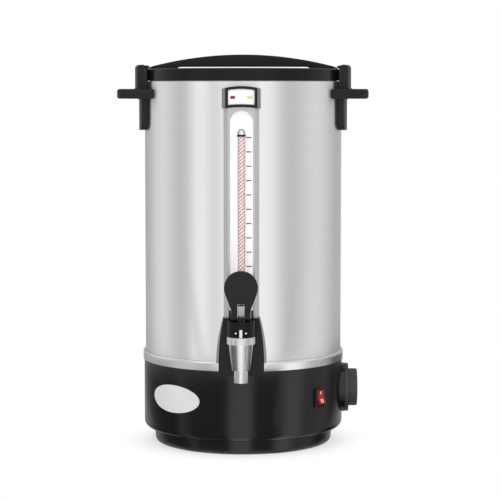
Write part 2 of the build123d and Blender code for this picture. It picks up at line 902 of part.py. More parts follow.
def make_tap_bonnet():
    bonnet = upright(bonnet_radius, collar_top, bonnet_top)
    bonnet += upright(chamber_radius - wall_gap, bonnet_under, collar_top)
    tongue_half = fork_half - fork_clear
    tongue = Box(2 * tongue_half, tongue_thick, tongue_height, align=(Align.CENTER, Align.MIN, Align.MIN))
    tongue_back = sqrt(bonnet_radius**2 - tongue_half**2)
    bonnet += Pos(0, -tongue_back, bonnet_top) * tongue
    ear_inner = neck_half + ear_gap
    for side in (-1, 1):
        ear = Box(ear_thick, ear_depth, ear_height, align=(Align.CENTER, Align.MIN, Align.MIN))
        ear = fillet(ear.edges().filter_by(Axis.X).group_by(Axis.Z)[-1], ear_edge)
        bonnet += Pos(side * (ear_inner + ear_thick / 2), 0, bonnet_top) * ear
    bonnet -= upright(stem_radius + slip_gap, bonnet_under, bonnet_top)
    window_half = stem_radius + stem_window_gap
    window_from = (Align.CENTER, Align.MAX, Align.MIN)
    window = Box(2 * window_half, bonnet_radius, stem_window_height, align=window_from)
    bonnet -= Pos(0, 0, collar_top) * window
    head_seat = bonnet_radius - bonnet_screw_sink - bonnet_screw[2]
    for x in (-bonnet_screw_x, bonnet_screw_x):
        recess = bonnet_screw[1] + screw_recess_gap
        bonnet -= along_front(recess, head_seat, bonnet_radius, x, bonnet_screw_z)
        bonnet -= along_front(bonnet_screw[0], head_seat - bonnet_screw_length, head_seat, x, bonnet_screw_z)
    return tap_axis(bonnet)


def make_bonnet_screws():
    head_seat = bonnet_radius - bonnet_screw_sink - bonnet_screw[2]
    one = Rot(90, 0, 0) * screw(bonnet_screw, bonnet_screw_length)
    places = [Pos(x, -head_seat, bonnet_screw_z) for x in (-bonnet_screw_x, bonnet_screw_x)]
    return Compound(children=[tap_axis(place * one) for place in places])


def make_tap_stem():
    stem = upright(stem_radius, stem_end, pin_z)
    height = stem_head_down + stem_head_up
    head = Box(2 * stem_head_half, stem_head_depth, height, align=(Align.CENTER, Align.CENTER, Align.MIN))
    head = fillet(head.edges().filter_by(Axis.X), stem_head_edge)
    stem += Pos(0, 0, pin_z - stem_head_down) * head
    return tap_axis(stem - along_side(pin_radius, -fork_gap, fork_gap, z=pin_z))


def make_seat_cup():
    rim_height = cup_bottom + cup_rim
    cup = turned(
        (0, cup_bottom),
        (cup_radius, cup_bottom),
        (cup_radius, rim_height),
        (cup_neck_radius, cup_top - cup_rim),
        (cup_neck_radius, cup_top),
        (0, cup_top),
    )
    return tap_axis(cup - upright(stem_radius, stem_end, cup_top))


def make_lever_pin():
    half = neck_half - pin_inset
    return tap_axis(along_side(pin_radius, -half, half, z=pin_z))


def spring_point(turn, low, pitch):
    angle = 2 * pi * turn
    return Vector(spring_radius * cos(angle), spring_radius * sin(angle), low + pitch * turn)


def spring_tangent(turn, pitch):
    angle = 2 * pi * turn
    along = 2 * pi * spring_radius
    return Vector(-along * sin(angle), along * cos(angle), pitch).normalized()


def biarc(start, start_way, end, end_way):
    across = end - start
    ways = start_way + end_way
    spread = 2 * (1 - start_way.dot(end_way))
    along = across.dot(ways)
    reach = (sqrt(along**2 + spread * across.dot(across)) - along) / spread
    near = start + start_way * reach
    far = end - end_way * reach
    middle = (near + far) * 0.5
    return [TangentArc(start, middle, tangent=start_way), TangentArc(middle, end, tangent=far - near)]


def make_tap_spring():
    low = cup_top + spring_wire + seat_touch
    high = bonnet_under - spring_wire - seat_touch
    pitch = (high - low) / spring_turns
    path = []
    for half_turn in range(2 * spring_turns):
        start = half_turn / 2
        end = (half_turn + 1) / 2
        ends = (spring_point(start, low, pitch), spring_point(end, low, pitch))
        ways = (spring_tangent(start, pitch), spring_tangent(end, pitch))
        path += biarc(ends[0], ways[0], ends[1], ways[1])
    section = Plane(origin=spring_point(0, low, pitch), z_dir=spring_tangent(0, pitch)) * Circle(spring_wire)
    print("spring: least gap between turns", round(spring_gap(low, pitch), 3), "mm")
    return tap_axis(sweep(section, Wire(path)))


def spring_gap(low, pitch):
    samples = 48
    steps = range(samples * spring_turns + 1)
    points = [spring_point(step / samples, low, pitch) for step in steps]
    least = min(
        (points[b] - points[a]).length
        for a in range(len(points))
        for b in range(a + samples // 2, len(points))
    )
    return least - 2 * spring_wire


def cam_point(angle):
    reach = cam_start + cam_rise * angle
    y = -reach * sin(angle) - cam_rise * cos(angle)
    z = -reach * cos(angle) + cam_rise * sin(angle)
    return (y, pin_z + z)


def cam_outline():
    half = lever_thick / 2
    heel = Spline([cam_point(cam_end * step / (cam_points - 1)) for step in range(cam_points)])
    back = Polyline(
        heel @ 1,
        (-half, pin_z + half),
        (half, pin_z + half),
        (half, pin_z - cam_start + lever_edge),
        (half - lever_edge, pin_z - cam_start),
        heel @ 0,
    )
    return make_face([heel] + back.edges())


def lever_outline():
    foot = pin_z - cam_start / 2
    top = lever_head_z + lever_head_radius
    crown = ThreePointArc((-shoulder_x, shoulder_z), (0, top), (shoulder_x, shoulder_z))
    sides = Polyline(
        (shoulder_x, shoulder_z),
        (neck_half, neck_z),
        (neck_half, foot),
        (-neck_half, foot),
        (-neck_half, neck_z),
        (-shoulder_x, shoulder_z),
    )
    outline = make_face([crown] + sides.edges())
    bends = [v for v in outline.vertices() if abs(v.Y - neck_z) < seat_touch]
    return fillet(bends, neck_bend)


def make_tap_lever():
    half = lever_thick / 2
    paddle = front_slab(lever_outline(), tap_reach - half, tap_reach + half)
    rims = [face.edges() for face in (paddle.faces().sort_by(Axis.Y)[0], paddle.faces().sort_by(Axis.Y)[-1])]
    foot = pin_z - cam_start / 2
    rounded = [edge for rim in rims for edge in rim if edge.center().Z > foot + seat_touch]
    paddle = fillet(rounded, lever_edge)
    legs = extrude(Plane.YZ.offset(-neck_half) * cam_outline(), 2 * neck_half)
    lever = paddle + tap_axis(legs)
    fork_height = fork_top - bonnet_top
    fork = Box(fork_gap, 8 * lever_thick, fork_height, align=(Align.CENTER, Align.CENTER, Align.MIN))
    lever -= Pos(0, -tap_reach, bonnet_top) * fork
    return lever - tap_axis(along_side(pin_radius + pin_gap, -neck_half, neck_half, z=pin_z))


# Shroud around the shank

def shroud_outline(extra_top, extra_mid, extra_bottom):
    top = shroud_top_half + extra_top
    mid = shroud_mid_half + extra_mid
    low = shroud_bottom_half + extra_bottom
    sides = []
    for side in (1, -1):
        start = (side * top, shroud_top)
        sides.append(ThreePointArc(start, (side * mid, shroud_mid_z), (side * low, shroud_bottom)))
    head = Line((-top, shroud_top), (top, shroud_top))
    foot = Line((low, shroud_bottom), (-low, shroud_bottom))
    return make_face([head, sides[0], foot, sides[1]])


def behind_shroud():
    base = upright(base_radius + seat_gap, 0, base_top)
    trim = upright(ring_radius + seat_gap, base_top, base_top + ring_height + seat_gap)
    return base + trim + upright(body_radius + seat_gap, base_top, rim_top)


def make_tap_shroud():
    solid = front_slab(shroud_outline(0, 0, 0), body_radius / 2, shroud_front)
    solid = fillet(solid.faces().sort_by(Axis.Y)[0].edges(), shroud_corner)
    inside = -shroud_wall
    room = front_slab(shroud_outline(inside, inside, inside), body_radius / 2, shroud_front - shroud_wall)
    room &= Pos(0, 0, shroud_bottom + shroud_wall) * Box(4 * tap_reach, 4 * tap_reach, 4 * shroud_top,
                                                         align=(Align.CENTER, Align.CENTER, Align.MIN))
    shroud = solid - room - behind_shroud()
    shroud -= along_front(tap_spigot_radius + seat_gap, body_radius, shroud_front, z=shank_z)
    slot = Box(column_width + 2 * seat_gap, 2 * column_front + 2 * seat_gap, shroud_top)
    return shroud - Pos(0, 0, column_bottom - seat_gap + shroud_top / 2) * slot


def make_shroud_rails():
    back = body_radius - shroud_depth
    outline = shroud_outline(rail_top_thick, rail_thick, rail_thick)
    outline -= shroud_outline(seat_gap, seat_gap, seat_gap)
    rails = front_slab(outline, back, shroud_front - rail_setback)
    rails -= upright(2 * tap_reach, 0, base_top + ring_height + rail_lift)
    rails -= upright(body_radius + seat_gap, 0, rim_top)
    slot = Box(column_width + 2 * seat_gap, 2 * column_front + 2 * seat_gap, shroud_top)
    rails -= Pos(0, 0, column_bottom - seat_gap + shroud_top / 2) * slot
    return Compound(children=list(rails.solids()))


# Dial

def make_dial_knob():
    skirt = along_side(dial_skirt_radius, dial_back, dial_back + dial_skirt_thick, z=dial_z)
    grip = along_side(dial_grip_radius, dial_back, dial_reach, z=dial_z)
    grip = fillet(grip.faces().sort_by(Axis.X)[-1].edges(), dial_edge)
    flute_circle = dial_grip_radius + dial_flute_radius - dial_flute_depth
    for index in range(dial_flutes):
        angle = 2 * pi * index / dial_flutes
        y = flute_circle * cos(angle)
        z = dial_z + flute_circle * sin(angle)
        grip -= along_side(dial_flute_radius, dial_back + dial_skirt_thick, dial_reach, y, z)
    hole = along_side(dial_shaft_radius + dial_bore_gap, dial_back, dial_back + dial_shaft_in, z=dial_z)
    return skirt + grip - hole


def make_dial_shaft():
    start = dial_boss_back - thermostat_size[0] / 2
    return along_side(dial_shaft_radius, start, dial_back + dial_shaft_in, z=dial_z)


def make_thermostat():
    depth, width, height = thermostat_size
    case = Box(depth, width, height, align=(Align.MAX, Align.CENTER, Align.CENTER))
    case = fillet(case.edges().filter_by(Axis.X), thermostat_edge)
    case = Pos(dial_boss_back, 0, dial_z) * case
    start = dial_boss_back - depth / 2
    return case - along_side(dial_shaft_radius + dial_shaft_gap, start, dial_boss_back, z=dial_z)


# Rocker switch, built facing +Z with its pivot along X, then set on the base

def switch_place():
    angle = radians(switch_angle)
    outward = Vector(sin(angle), -cos(angle), 0)
    across = Vector(cos(angle), sin(angle), 0)
    plane = Plane(origin=outward * base_radius + Vector(0, 0, switch_z), x_dir=across, z_dir=outward)
    return plane.location


def switch_body(gap):
    width = bezel_width - 2 * switch_rim + 2 * gap
    height = bezel_height - 2 * switch_rim + 2 * gap
    return Pos(0, 0, -switch_depth) * Box(width, height, switch_depth + bezel_proud / 2,
                                          align=(Align.CENTER, Align.CENTER, Align.MIN))


def rocker_room(gap):
    width = rocker_width + 2 * gap
    radius = rocker_radius + gap
    drum = Pos(0, 0, -rocker_sink) * Rot(0, 90, 0) * Cylinder(radius, width)
    height = 2 * bezel_proud + rocker_sink
    mouth = Box(width, 2 * radius, height, align=(Align.CENTER, Align.CENTER, Align.MIN))
    return drum + Pos(0, 0, -rocker_sink) * mouth


def make_switch_bezel():
    flange = extrude(RectangleRounded(bezel_width, bezel_height, bezel_corner), bezel_proud + base_wall)
    flange = fillet(flange.faces().sort_by(Axis.Z)[-1].edges(), bezel_edge)
    flange = switch_place() * Pos(0, 0, -base_wall) * flange
    flange -= upright(base_radius + flange_gap, 0, base_top)
    bezel = flange + switch_place() * switch_body(0)
    pins = Pos(0, 0, -rocker_sink) * Rot(0, 90, 0)
    pins *= Cylinder(rocker_pin + rocker_pin_gap, rocker_width + 2 * rocker_pin_reach + 2 * slip_gap)
    return bezel - switch_place() * (rocker_room(slip_gap) + pins)


def make_switch_rocker():
    drum = Pos(0, 0, -rocker_sink) * Rot(0, 90, 0) * Cylinder(rocker_radius, rocker_width)
    reach = 2 * rocker_radius
    rise = reach * sin(radians(rocker_tilt)) / cos(radians(rocker_tilt))
    low = -rocker_sink - rocker_radius / 2
    profile = Polyline(
        (0, rocker_valley),
        (reach, rocker_valley + rise),
        (reach, low),
        (-reach, low),
        (-reach, rocker_valley + rise),
        close=True,
    )
    rocker = drum & extrude(Plane.YZ * make_face(profile), rocker_width, both=True)
    pins = Pos(0, 0, -rocker_sink) * Rot(0, 90, 0)
    rocker += pins * Cylinder(rocker_pin, rocker_width + 2 * rocker_pin_reach)
    pivot = Pos(0, 0, -rocker_sink)
    pressed = pivot * Rot(-rocker_tilt, 0, 0) * pivot.inverse() * rocker
    return switch_place() * pressed


# Power inlet, built facing +Z, then set on the back of the base

def inlet_place():
    plane = Plane(origin=(0, base_radius, inlet_z), x_dir=(-1, 0, 0), z_dir=(0, 1, 0))
    return plane.location


def inlet_shell(sizes, gap, depth):
    outline = RectangleRounded(sizes[0] + 2 * gap, sizes[1] + 2 * gap, inlet_corner)
    return Pos(0, 0, -depth) * extrude(outline, depth + inlet_proud)


def make_power_inlet():
    outline = RectangleRounded(inlet_flange[0], inlet_flange[1], inlet_corner)
    flange = extrude(outline, inlet_proud + base_wall)
    flange = fillet(flange.faces().sort_by(Axis.Z)[-1].edges(), bezel_edge)
    flange = inlet_place() * Pos(0, 0, -base_wall) * flange
    flange -= upright(base_radius + flange_gap, 0, base_top)
    inlet = flange + inlet_place() * inlet_shell(inlet_body, 0, inlet_depth)
    inlet -= inlet_place() * inlet_shell(inlet_cavity, 0, inlet_cavity_depth)
    for hole in inlet_blades():
        inlet -= hole
    return inlet


def inlet_blades():
    width, height = blade
    length = blade_root + blade_proud
    floor = -inlet_cavity_depth - blade_root
    places = [(-blade_pitch, -blade_offset), (blade_pitch, -blade_offset), (0, blade_offset)]
    bar = Box(width, height, length, align=(Align.CENTER, Align.CENTER, Align.MIN))
    return [inlet_place() * Pos(x, y, floor) * bar for x, y in places]


# Heater

def make_heater_plate():
    disc = upright(heater_radius, tank_bottom - heater_thick, tank_bottom)
    element = Pos(0, 0, tank_bottom - heater_thick) * Torus(element_circle, element_radius)
    above = upright(2 * heater_radius, tank_bottom - heater_thick, tank_bottom + heater_thick)
    return disc + (element - above)


def make_thermal_cutout():
    top = tank_bottom - heater_thick
    can = upright(cutout_radius, top - cutout_height, top)
    can = fillet(round_edges(can, top - cutout_height), cutout_edge)
    return Pos(cutout_circle, 0, 0) * can


right_handle = make_right_handle()
nodes = {
    "outer_shell": make_outer_shell(),
    "tank": make_tank(),
    "tank_floor": make_tank_floor(),
    "trim_ring": make_trim_ring(),
    "base_housing": make_base_housing(),
    "foot_ring": make_foot_ring(),
    "base_plate": make_base_plate(),
    "base_screws": make_base_screws(),
    "right_handle": right_handle,
    "left_handle": mirror(right_handle, Plane.YZ),
    "handle_screws": make_handle_screws(),
    "lid_cover": make_lid_cover(),
    "lid_liner": make_lid_liner(),
    "lid_screws": make_lid_screws(),
    "lid_seal": make_lid_seal(),
    "gauge_column": make_gauge_column(),
    "gauge_scale": make_gauge_scale(),
    "gauge_tube": make_gauge_tube(),
    "gauge_seal": make_gauge_seal(),
    "gauge_cap": make_gauge_cap(),
    "gauge_foot_seal": make_gauge_foot_seal(),
    "lamp_housing": make_lamp_housing(),
    "lamp_frame": make_lamp_frame(),
    "lamp_face": make_lamp_face(),
    "red_lamp": make_lens(-lens_x),
    "green_lamp": make_lens(lens_x),
    "tap_body": make_tap_body(),
    "shank_tee": make_shank_tee(),
    "shank_seals": make_shank_seals(),
    "shank_spacer": make_shank_spacer(),
    "shank_nut": make_shank_nut(),
    "tap_bonnet": make_tap_bonnet(),
    "bonnet_screws": make_bonnet_screws(),
    "tap_stem": make_tap_stem(),
    "seat_cup": make_seat_cup(),
    "lever_pin": make_lever_pin(),
    "tap_spring": make_tap_spring(),
    "tap_lever": make_tap_lever(),
    "tap_shroud": make_tap_shroud(),
    "shroud_rails": make_shroud_rails(),
    "dial_knob": make_dial_knob(),
    "dial_shaft": make_dial_shaft(),
    "thermostat": make_thermostat(),
    "switch_bezel": make_switch_bezel(),
    "switch_rocker": make_switch_rocker(),
    "power_inlet": make_power_inlet(),
    "inlet_pins": Compound(children=inlet_blades()),
    "heater_plate": make_heater_plate(),
    "thermal_cutout": make_thermal_cutout(),
}

os.makedirs("parts", exist_ok=True)
for name, shape in nodes.items():
    export_step(shape, f"parts/{name}.step")
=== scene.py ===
import json
import math

import bmesh
import bpy
from mathutils import Matrix, Vector


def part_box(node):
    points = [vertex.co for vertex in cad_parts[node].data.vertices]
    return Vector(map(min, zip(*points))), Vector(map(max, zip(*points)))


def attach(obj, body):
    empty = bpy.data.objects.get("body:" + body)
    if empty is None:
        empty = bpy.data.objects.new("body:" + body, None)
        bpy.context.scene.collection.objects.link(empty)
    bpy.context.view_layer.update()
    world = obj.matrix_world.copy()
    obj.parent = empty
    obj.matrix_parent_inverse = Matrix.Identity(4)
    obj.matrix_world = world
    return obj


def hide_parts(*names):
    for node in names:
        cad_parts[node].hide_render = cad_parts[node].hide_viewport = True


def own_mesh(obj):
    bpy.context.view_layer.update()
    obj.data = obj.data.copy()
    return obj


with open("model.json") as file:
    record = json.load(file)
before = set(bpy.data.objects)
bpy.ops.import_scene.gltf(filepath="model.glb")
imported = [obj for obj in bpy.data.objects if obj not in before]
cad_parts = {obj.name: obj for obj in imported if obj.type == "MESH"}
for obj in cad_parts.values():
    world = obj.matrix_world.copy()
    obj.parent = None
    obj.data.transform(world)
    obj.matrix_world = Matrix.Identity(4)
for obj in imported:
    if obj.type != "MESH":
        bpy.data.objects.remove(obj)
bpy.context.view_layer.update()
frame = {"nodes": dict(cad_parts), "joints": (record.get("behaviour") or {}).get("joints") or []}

nodes = frame["nodes"]
joints = {joint["name"]: joint for joint in frame["joints"]}
mm = 0.001
print("frame loaded:", len(nodes), "nodes")


# shader sockets with arithmetic
class Field:
    def __init__(self, tree, socket):
        self.tree = tree
        self.socket = socket

    def calc(self, operation, *values):
        return addNode(self.tree, "ShaderNodeMath", {"operation": operation}, dict(enumerate(values)))

    def __add__(self, other):
        return self.calc("ADD", self, other)

    def __radd__(self, other):
        return self.calc("ADD", other, self)

    def __sub__(self, other):
        return self.calc("SUBTRACT", self, other)

    def __rsub__(self, other):
        return self.calc("SUBTRACT", other, self)

    def __mul__(self, other):
        return self.calc("MULTIPLY", self, other)

    def __rmul__(self, other):
        return self.calc("MULTIPLY", other, self)

    def __truediv__(self, other):
        return self.calc("DIVIDE", self, other)

    def __rtruediv__(self, other):
        return self.calc("DIVIDE", other, self)

    def __pow__(self, other):
        return self.calc("POWER", self, other)

    def __rpow__(self, other):
        return self.calc("POWER", other, self)

    def __lt__(self, other):
        return self.calc("LESS_THAN", self, other)

    def __gt__(self, other):
        return self.calc("GREATER_THAN", self, other)

    def __abs__(self):
        return self.calc("ABSOLUTE", self)


# any node: its settings are set first, then values or links go into its sockets
def addNode(tree, kind, settings=None, sockets=None, out=0):
    node = tree.nodes.new(kind)
    for key, value in (settings or {}).items():
        if key == "stops":
            setStops(node.color_ramp, value)
        else:
            setattr(node, key, value)
    for key, value in (sockets or {}).items():
        if isinstance(value, Field):
            tree.links.new(value.socket, node.inputs[key])
        else:
            node.inputs[key].default_value = value
    return Field(tree, node.outputs[out])


def setStops(ramp, stops):
    ramp.interpolation = "EASE"
    while len(ramp.elements) < len(stops):
        ramp.elements.new(0.5)
    for element, (place, level) in zip(ramp.elements, stops):
        element.position = place
        element.color = grey(level)


def splitAxes(tree, place):
    split = addNode(tree, "ShaderNodeSeparateXYZ", None, {"Vector": place}).socket.node
    return [Field(tree, socket) for socket in split.outputs]


def grey(level):
    return (level, level, level, 1)


def shaded(share, colour):
    return tuple(share * part for part in colour[:3]) + (1,)


# a material with its shader, and the patterns that the finishes share
class Finish:
    def __init__(self, name, **uniform):
        self.material = bpy.data.materials.new(name)
        self.material.use_nodes = True
        self.tree = self.material.node_tree
        self.shader = self.tree.nodes["Principled BSDF"]
        self.place = addNode(self.tree, "ShaderNodeTexCoord", out="Object")
        self.set(uniform)

    def set(self, values):
        for key, value in values.items():
            socket = self.shader.inputs[key]
            if isinstance(value, Field):
                self.tree.links.new(value.socket, socket)
            else:
                socket.default_value = value

    def add(self, kind, settings=None, sockets=None, out=0):
        return addNode(self.tree, kind, settings, sockets, out)

    def noise(self, size, stretch=(1, 1, 1), detail=2.0):
        scale = [way / size for way in stretch]
        spot = self.add("ShaderNodeMapping", None, {"Vector": self.place, "Scale": scale})
        return self.add("ShaderNodeTexNoise", None, {"Vector": spot, "Scale": 1.0, "Detail": detail})

    def blend(self, share, first, second):
        settings = {"data_type": "RGBA", "clamp_factor": True}
        return self.add("ShaderNodeMix", settings, {0: share, 6: first, 7: second}, out=2)

    def bump(self, height, depth):
        sockets = {"Height": height, "Distance": depth, "Strength": 1.0}
        self.set({"Normal": self.add("ShaderNodeBump", None, sockets, out="Normal")})


def dress(finish, *names):
    for name in names:
        nodes[name].data.materials.clear()
        nodes[name].data.materials.append(finish.material)


# steel: fine brushing that runs round the urn
shellLook = {
    "light": 0.825, "dark": 0.765, "rough": 0.28, "roughSwing": 0.08, "stretch": 0.80, "stretchTurn": 0.25,
    "line": 0.5 * mm, "lineRun": 170, "lineShare": 0.6, "band": 3.2 * mm, "bandRun": 90, "depth": 0.012 * mm,
}
trimLook = dict(shellLook, light=0.87, dark=0.81, rough=0.14, roughSwing=0.04, stretch=0.3, band=1.6 * mm)
drawnLook = dict(shellLook, light=0.62, dark=0.52, rough=0.34, stretch=0.3, line=0.8 * mm)


def brushedSteel(name, look):
    steel = Finish(name)
    lines = steel.noise(look["line"], (1 / look["lineRun"], 1 / look["lineRun"], 1), detail=3.0)
    bands = steel.noise(look["band"], (1 / look["bandRun"], 1 / look["bandRun"], 1))
    streak = lines * look["lineShare"] + bands * (1 - look["lineShare"])
    steel.set({
        "Base Color": steel.blend(streak, grey(look["dark"]), grey(look["light"])),
        "Roughness": look["rough"] + look["roughSwing"] * (lines - 0.5),
        "Metallic": 1.0,
        "Anisotropic": look["stretch"],
        "Anisotropic Rotation": look["stretchTurn"],
    })
    steel.bump(lines, look["depth"])
    return steel


# turned bright metal: faint lathe rings
chromeLook = {"colour": grey(0.72), "deep": 0.86, "rough": 0.16, "swing": 0.08, "ring": 0.35 * mm,
              "ringRun": 20, "cloud": 6 * mm, "depth": 0.01 * mm}
screwLook = dict(chromeLook, rough=0.22)
stemLook = dict(chromeLook, colour=grey(0.45), rough=0.25)
brassLook = dict(chromeLook, colour=(0.72, 0.5616, 0.288, 1), rough=0.3)
castLook = dict(chromeLook, colour=grey(0.6), rough=0.45, depth=0.04 * mm)


def turnedMetal(name, look):
    metal = Finish(name)
    rings = metal.noise(look["ring"], (1 / look["ringRun"], 1 / look["ringRun"], 1))
    cloud = metal.noise(look["cloud"], detail=3.0)
    metal.set({
        "Base Color": metal.blend(cloud, shaded(look["deep"], look["colour"]), look["colour"]),
        "Roughness": look["rough"] + look["swing"] * (cloud - 0.5),
        "Metallic": 1.0,
    })
    metal.bump(rings, look["depth"])
    return metal


# moulded plastics and rubber: a fine grain and a slow drift of gloss
mouldLook = {"colour": (0.0085, 0.0085, 0.0088), "deep": 0.86, "pale": 1.14, "rough": 0.42, "swing": 0.10,
             "grain": 0.45 * mm, "drift": 28 * mm, "driftShare": 0.7, "depth": 0.02 * mm, "specular": 0.25,
             "glow": 0.0}
footLook = dict(mouldLook, colour=(0.006, 0.006, 0.0062), rough=0.26, swing=0.04, grain=1.6 * mm,
                depth=0.004 * mm, specular=0.5)
baseLook = dict(footLook, colour=(0.004, 0.004, 0.0042), rough=0.17)
lidLook = dict(mouldLook, colour=(0.004, 0.004, 0.0042), rough=0.24, swing=0.05, depth=0.008 * mm,
               specular=0.22)
tapLook = dict(mouldLook, rough=0.36)
bonnetLook = dict(mouldLook, colour=(0.006, 0.006, 0.0062), specular=0.15)
controlLook = dict(mouldLook, colour=(0.010, 0.010, 0.0105), rough=0.34, depth=0.012 * mm)
knobLook = dict(controlLook, colour=(0.038, 0.038, 0.0385), rough=0.45, specular=0.4)
rubberLook = dict(mouldLook, colour=(0.008, 0.008, 0.008), rough=0.6, specular=0.2)
siliconeLook = dict(mouldLook, colour=(0.55, 0.54, 0.50), rough=0.5, specular=0.4)
whiteLook = dict(mouldLook, colour=(0.86, 0.86, 0.86), pale=0.93 / 0.86, rough=0.35, swing=0.06,
                 depth=0.004 * mm, specular=0.4)
# painted light: the white scale plate glows, so that it reads white in the shade of its recess
paintedGlowScaleLook = dict(whiteLook, glow=0.42)


def moulded(name, look):
    plastic = Finish(name)
    grain = plastic.noise(look["grain"], detail=3.0)
    drift = plastic.noise(look["drift"])
    cloud = drift * look["driftShare"] + grain * (1 - look["driftShare"])
    deep, pale = [shaded(look[share], look["colour"]) for share in ("deep", "pale")]
    plastic.set({
        "Base Color": plastic.blend(cloud, deep, pale),
        "Roughness": look["rough"] + look["swing"] * (drift - 0.5),
        "Specular IOR Level": look["specular"],
        "Emission Color": grey(1),
        "Emission Strength": look["glow"],
    })
    plastic.bump(grain, look["depth"])
    return plastic


# silver paint: metal flake under a clear skin
silverLook = {"colour": 0.50, "deep": 0.85, "pale": 1.15, "flake": 0.25 * mm, "flakeShare": 0.6,
              "drift": 24 * mm, "driftRise": 0.4, "rough": 0.36, "swing": 0.12, "metal": 0.7, "coat": 0.2}
wingLook = dict(silverLook, colour=0.20)
railLook = dict(silverLook, colour=0.27, metal=0.6)


def silverPaint(name, look):
    paint = Finish(name)
    flake = paint.noise(look["flake"], detail=1.0)
    drift = paint.noise(look["drift"], (1, 1, look["driftRise"]))
    cloud = flake * look["flakeShare"] + drift * (1 - look["flakeShare"])
    deep, pale = [grey(look["colour"] * look[share]) for share in ("deep", "pale")]
    paint.set({
        "Base Color": paint.blend(cloud, deep, pale),
        "Roughness": look["rough"] + look["swing"] * (flake - 0.5),
        "Metallic": look["metal"],
        "Coat Weight": look["coat"],
    })
    return paint


# clear tube and its cap: a little haze, and painted shade, a dark outline where the wall is seen edge-on
glassLook = {"colour": (0.97, 0.98, 0.98, 1), "edge": (0.05, 0.045, 0.05, 1), "paintedEdgeShade": 1.5, "rough": 0.02,
             "haze": 0.05, "hazeSize": 9 * mm, "hazeRise": 0.3, "index": 1.45, "clear": 1.0, "specular": 0.5}
capLook = dict(glassLook, colour=(0.92, 0.93, 0.93, 1), edge=(0.004, 0.004, 0.005, 1), paintedEdgeShade=0.6, rough=0.12,
               clear=0.2, specular=0.12)


def clearGlass(name, look):
    glass = Finish(name)
    haze = glass.noise(look["hazeSize"], (1, 1, look["hazeRise"]))
    # painted shade: the colour darkens towards the edges by how edge-on the wall is seen
    paintedEdgeShade = glass.add("ShaderNodeLayerWeight", None, {"Blend": 0.5}, out="Facing")
    glass.set({
        "Base Color": glass.blend(paintedEdgeShade ** look["paintedEdgeShade"], look["colour"], look["edge"]),
        "Roughness": look["rough"] + look["haze"] * haze * haze,
        "Transmission Weight": look["clear"],
        "IOR": look["index"],
        "Specular IOR Level": look["specular"],
    })
    return glass


# lamp lenses and the rocker: clear coloured plastic, paler in the middle
redLook = {"node": "red_lamp", "edge": (0.20, 0.010, 0.016, 1), "heart": (0.36, 0.025, 0.035, 1),
           "glow": 0.05, "heartShare": 0.8, "cell": 0.7 * mm, "rough": 0.14, "swing": 0.08, "specular": 0.3,
           "coat": 0.15, "coatRough": 0.08}
greenLook = dict(redLook, node="green_lamp", edge=(0.50, 0.58, 0.13, 1), heart=(0.66, 0.74, 0.24, 1))
rockerLook = dict(redLook, node="switch_rocker", edge=(0.17, 0.002, 0.004, 1), heart=(0.32, 0.004, 0.008, 1),
                  glow=0.03)


def colouredLens(name, look):
    low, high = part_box(look["node"])
    lens = Finish(name)
    ends = {0: lens.place, 1: (low + high) / 2}
    away = lens.add("ShaderNodeVectorMath", {"operation": "DISTANCE"}, ends, out="Value")
    share = 1 - away / ((high - low).length / 2)
    cells = lens.noise(look["cell"], detail=1.0)
    cloud = share * look["heartShare"] + cells * (1 - look["heartShare"])
    colour = lens.blend(cloud, look["edge"], look["heart"])
    lens.set({
        "Base Color": colour,
        "Roughness": look["rough"] + look["swing"] * cells,
        "Emission Color": colour,
        "Emission Strength": look["glow"],
        "Specular IOR Level": look["specular"],
        "Coat Weight": look["coat"],
        "Coat Roughness": look["coatRough"],
    })
    return lens


# each finish with the nodes that wear it
wardrobe = [
    (brushedSteel, "brushedShell", shellLook, "outer_shell"),
    (brushedSteel, "trimSteel", trimLook, "trim_ring"),
    (brushedSteel, "drawnSteel", drawnLook, "tank", "tank_floor", "lid_liner", "base_plate"),
    (turnedMetal, "screwSteel", screwLook, "base_screws", "handle_screws", "lid_screws", "bonnet_screws",
     "lever_pin", "dial_shaft", "tap_spring"),
    (turnedMetal, "tapChrome", chromeLook, "tap_body"),
    (turnedMetal, "stemSteel", stemLook, "tap_stem"),
    (turnedMetal, "turnedBrass", brassLook, "shank_tee", "shank_nut", "shank_spacer", "inlet_pins"),
    (turnedMetal, "castAluminium", castLook, "heater_plate", "thermal_cutout"),
    (moulded, "blackMould", mouldLook, "left_handle", "right_handle"),
    (moulded, "footBlack", footLook, "foot_ring"),
    (moulded, "lidBlack", lidLook, "lid_cover"),
    (moulded, "tapBlack", tapLook, "tap_lever", "tap_shroud", "lamp_frame"),
    (moulded, "bonnetBlack", bonnetLook, "tap_bonnet"),
    (moulded, "glossBase", baseLook, "base_housing"),
    (moulded, "controlBlack", controlLook, "switch_bezel", "power_inlet", "thermostat"),
    (moulded, "dialBlack", knobLook, "dial_knob"),
    (moulded, "blackRubber", rubberLook, "gauge_seal", "gauge_foot_seal"),
    (moulded, "paleSilicone", siliconeLook, "lid_seal", "seat_cup", "shank_seals"),
    (moulded, "whitePlate", whiteLook, "lamp_face"),
    (moulded, "scalePlate", paintedGlowScaleLook, "gauge_scale"),
    (silverPaint, "silverPaint", silverLook, "gauge_column"),
    (silverPaint, "wingPaint", wingLook, "lamp_housing"),
    (silverPaint, "railPaint", railLook, "shroud_rails"),
    (clearGlass, "clearTube", glassLook, "gauge_tube"),
    (clearGlass, "clearCap", capLook, "gauge_cap"),
    (colouredLens, "redLens", redLook, "red_lamp"),
    (colouredLens, "greenLens", greenLook, "green_lamp"),
    (colouredLens, "redRocker", rockerLook, "switch_rocker"),
]
for make, name, look, *names in wardrobe:
    dress(make(name, look), *names)
print("finishes on all nodes")


# new pieces
def addPiece(name, bm, body, slot, *finishes):
    mesh = bpy.data.meshes.new(name)
    bm.to_mesh(mesh)
    bm.free()
    for finish in finishes:
        mesh.materials.append(finish.material)
    piece = bpy.data.objects.new(name, mesh)
    bpy.context.scene.collection.objects.link(piece)
    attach(piece, body)
    return piece


